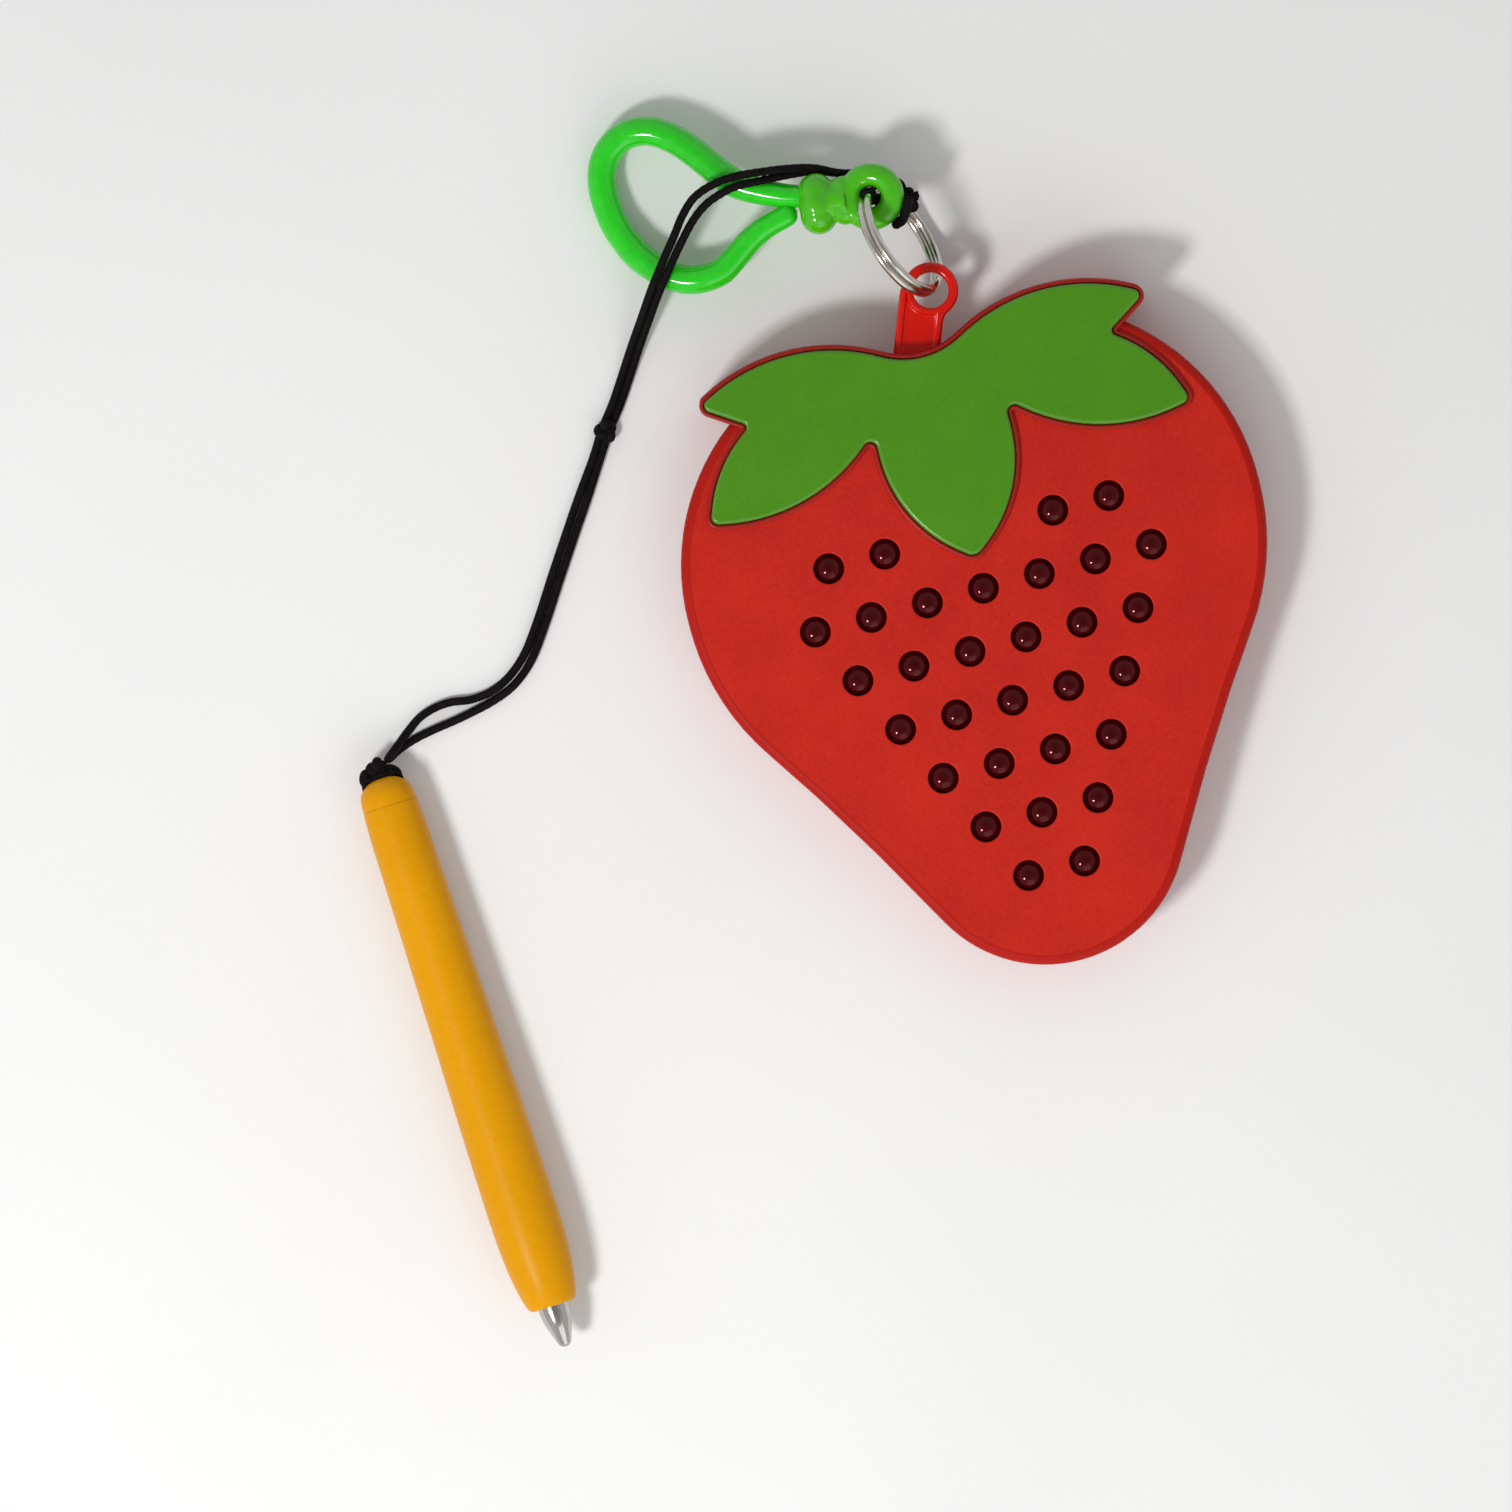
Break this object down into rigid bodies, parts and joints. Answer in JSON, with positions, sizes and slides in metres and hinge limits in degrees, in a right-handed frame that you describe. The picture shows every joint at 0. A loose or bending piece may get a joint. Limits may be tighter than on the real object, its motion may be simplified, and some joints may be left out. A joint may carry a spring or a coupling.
{
  "type": "magnetic bead drawing toy",
  "caption": "Flat berry-shaped magnetic drawing toy with steel beads in wells, a magnetic pen on a cord, a split ring and a plastic hanging clip.",
  "frame": {"origin": "centre of the case's flat back face, which lies on the table", "axes": "+Z out of the bead face, +Y towards the hanging tab, +X to the right as the bead face is seen with the tab at the top"},
  "size_m": [0.1152, 0.1422, 0.0142],
  "materials": {
    "red_case": "satin",
    "red_tab": "gloss",
    "leaf": "satin",
    "retainer": "matte",
    "tray": "matte",
    "bead_steel": "polished",
    "screw": "satin",
    "ring_wire": "polished",
    "clip_green": "gloss",
    "cord": "matte",
    "pen_yellow": "satin",
    "magnet": "plated",
    "nose_metal": "polished"
  },
  "bodies": {
    "case": {"front_cover": "red_case", "leaf_plate": "leaf", "bead_retainer": "retainer", "bead_tray": "tray", "back_cover": "red_case", "back_screws": "screw", "hanging_tab": "red_tab"},
    "ring": {"split_ring": "ring_wire"},
    "clip": {"clip_hook": "clip_green", "cord_strand_a": "cord", "cord_strand_b": "cord", "cord_hitch": "cord", "cord_knot_mid": "cord"},
    "clip_arm": {"clip_gate": "clip_green"},
    "pen": {"cord_knot_pen": "cord", "pen_end_cap": "pen_yellow", "pen_barrel": "pen_yellow", "pen_magnet": "magnet", "pen_nose": "nose_metal"},
    "bead_01": {"bead_01": "bead_steel"},
    "bead_02": {"bead_02": "bead_steel"},
    "bead_03": {"bead_03": "bead_steel"},
    "bead_04": {"bead_04": "bead_steel"},
    "bead_05": {"bead_05": "bead_steel"},
    "bead_06": {"bead_06": "bead_steel"},
    "bead_07": {"bead_07": "bead_steel"},
    "bead_08": {"bead_08": "bead_steel"},
    "bead_09": {"bead_09": "bead_steel"},
    "bead_10": {"bead_10": "bead_steel"},
    "bead_11": {"bead_11": "bead_steel"},
    "bead_12": {"bead_12": "bead_steel"},
    "bead_13": {"bead_13": "bead_steel"},
    "bead_14": {"bead_14": "bead_steel"},
    "bead_15": {"bead_15": "bead_steel"},
    "bead_16": {"bead_16": "bead_steel"},
    "bead_17": {"bead_17": "bead_steel"},
    "bead_18": {"bead_18": "bead_steel"},
    "bead_19": {"bead_19": "bead_steel"},
    "bead_20": {"bead_20": "bead_steel"},
    "bead_21": {"bead_21": "bead_steel"},
    "bead_22": {"bead_22": "bead_steel"},
    "bead_23": {"bead_23": "bead_steel"},
    "bead_24": {"bead_24": "bead_steel"},
    "bead_25": {"bead_25": "bead_steel"},
    "bead_26": {"bead_26": "bead_steel"},
    "bead_27": {"bead_27": "bead_steel"},
    "bead_28": {"bead_28": "bead_steel"},
    "bead_29": {"bead_29": "bead_steel"},
    "bead_30": {"bead_30": "bead_steel"},
    "bead_31": {"bead_31": "bead_steel"}
  },
  "joints": [
    {"name": "ring_swing", "type": "hinge", "parent": "case", "child": "ring", "pos_m": [0.0034, 0.0434, 0.0062], "axis": [0, 0, 1], "range_deg": [-35, 10]},
    {"name": "clip_swing", "type": "hinge", "parent": "ring", "child": "clip", "pos_m": [-0.00156, 0.0561, 0.0082], "axis": [0, 0, 1], "range_deg": [-18, 6]},
    {"name": "clip_arm_flex", "type": "hinge", "parent": "clip", "child": "clip_arm", "pos_m": [-0.026, 0.0522, 0.00311], "axis": [-0.2011, 0, 0.9796], "range_deg": [-14, 0], "stiffness_Nm_per_rad": 0.02},
    {"name": "pen_swing", "type": "hinge", "parent": "clip", "child": "pen", "pos_m": [-0.0767, 0.004, 0.0033], "axis": [0, 0, 1], "range_deg": [-40, 8]},
    {"name": "bead_01_lift", "type": "slide", "parent": "case", "child": "bead_01", "axis": [0, 0, 1], "range_m": [-0.0016, 0]},
    {"name": "bead_02_lift", "type": "slide", "parent": "case", "child": "bead_02", "axis": [0, 0, 1], "range_m": [-0.0016, 0]},
    {"name": "bead_03_lift", "type": "slide", "parent": "case", "child": "bead_03", "axis": [0, 0, 1], "range_m": [-0.0016, 0]},
    {"name": "bead_04_lift", "type": "slide", "parent": "case", "child": "bead_04", "axis": [0, 0, 1], "range_m": [-0.0016, 0]},
    {"name": "bead_05_lift", "type": "slide", "parent": "case", "child": "bead_05", "axis": [0, 0, 1], "range_m": [-0.0016, 0]},
    {"name": "bead_06_lift", "type": "slide", "parent": "case", "child": "bead_06", "axis": [0, 0, 1], "range_m": [-0.0016, 0]},
    {"name": "bead_07_lift", "type": "slide", "parent": "case", "child": "bead_07", "axis": [0, 0, 1], "range_m": [-0.0016, 0]},
    {"name": "bead_08_lift", "type": "slide", "parent": "case", "child": "bead_08", "axis": [0, 0, 1], "range_m": [-0.0016, 0]},
    {"name": "bead_09_lift", "type": "slide", "parent": "case", "child": "bead_09", "axis": [0, 0, 1], "range_m": [-0.0016, 0]},
    {"name": "bead_10_lift", "type": "slide", "parent": "case", "child": "bead_10", "axis": [0, 0, 1], "range_m": [-0.0016, 0]},
    {"name": "bead_11_lift", "type": "slide", "parent": "case", "child": "bead_11", "axis": [0, 0, 1], "range_m": [-0.0016, 0]},
    {"name": "bead_12_lift", "type": "slide", "parent": "case", "child": "bead_12", "axis": [0, 0, 1], "range_m": [-0.0016, 0]},
    {"name": "bead_13_lift", "type": "slide", "parent": "case", "child": "bead_13", "axis": [0, 0, 1], "range_m": [-0.0016, 0]},
    {"name": "bead_14_lift", "type": "slide", "parent": "case", "child": "bead_14", "axis": [0, 0, 1], "range_m": [-0.0016, 0]},
    {"name": "bead_15_lift", "type": "slide", "parent": "case", "child": "bead_15", "axis": [0, 0, 1], "range_m": [-0.0016, 0]},
    {"name": "bead_16_lift", "type": "slide", "parent": "case", "child": "bead_16", "axis": [0, 0, 1], "range_m": [-0.0016, 0]},
    {"name": "bead_17_lift", "type": "slide", "parent": "case", "child": "bead_17", "axis": [0, 0, 1], "range_m": [-0.0016, 0]},
    {"name": "bead_18_lift", "type": "slide", "parent": "case", "child": "bead_18", "axis": [0, 0, 1], "range_m": [-0.0016, 0]},
    {"name": "bead_19_lift", "type": "slide", "parent": "case", "child": "bead_19", "axis": [0, 0, 1], "range_m": [-0.0016, 0]},
    {"name": "bead_20_lift", "type": "slide", "parent": "case", "child": "bead_20", "axis": [0, 0, 1], "range_m": [-0.0016, 0]},
    {"name": "bead_21_lift", "type": "slide", "parent": "case", "child": "bead_21", "axis": [0, 0, 1], "range_m": [-0.0016, 0]},
    {"name": "bead_22_lift", "type": "slide", "parent": "case", "child": "bead_22", "axis": [0, 0, 1], "range_m": [-0.0016, 0]},
    {"name": "bead_23_lift", "type": "slide", "parent": "case", "child": "bead_23", "axis": [0, 0, 1], "range_m": [-0.0016, 0]},
    {"name": "bead_24_lift", "type": "slide", "parent": "case", "child": "bead_24", "axis": [0, 0, 1], "range_m": [-0.0016, 0]},
    {"name": "bead_25_lift", "type": "slide", "parent": "case", "child": "bead_25", "axis": [0, 0, 1], "range_m": [-0.0016, 0]},
    {"name": "bead_26_lift", "type": "slide", "parent": "case", "child": "bead_26", "axis": [0, 0, 1], "range_m": [-0.0016, 0]},
    {"name": "bead_27_lift", "type": "slide", "parent": "case", "child": "bead_27", "axis": [0, 0, 1], "range_m": [-0.0016, 0]},
    {"name": "bead_28_lift", "type": "slide", "parent": "case", "child": "bead_28", "axis": [0, 0, 1], "range_m": [-0.0016, 0]},
    {"name": "bead_29_lift", "type": "slide", "parent": "case", "child": "bead_29", "axis": [0, 0, 1], "range_m": [-0.0016, 0]},
    {"name": "bead_30_lift", "type": "slide", "parent": "case", "child": "bead_30", "axis": [0, 0, 1], "range_m": [-0.0016, 0]},
    {"name": "bead_31_lift", "type": "slide", "parent": "case", "child": "bead_31", "axis": [0, 0, 1], "range_m": [-0.0016, 0]}
  ]
}
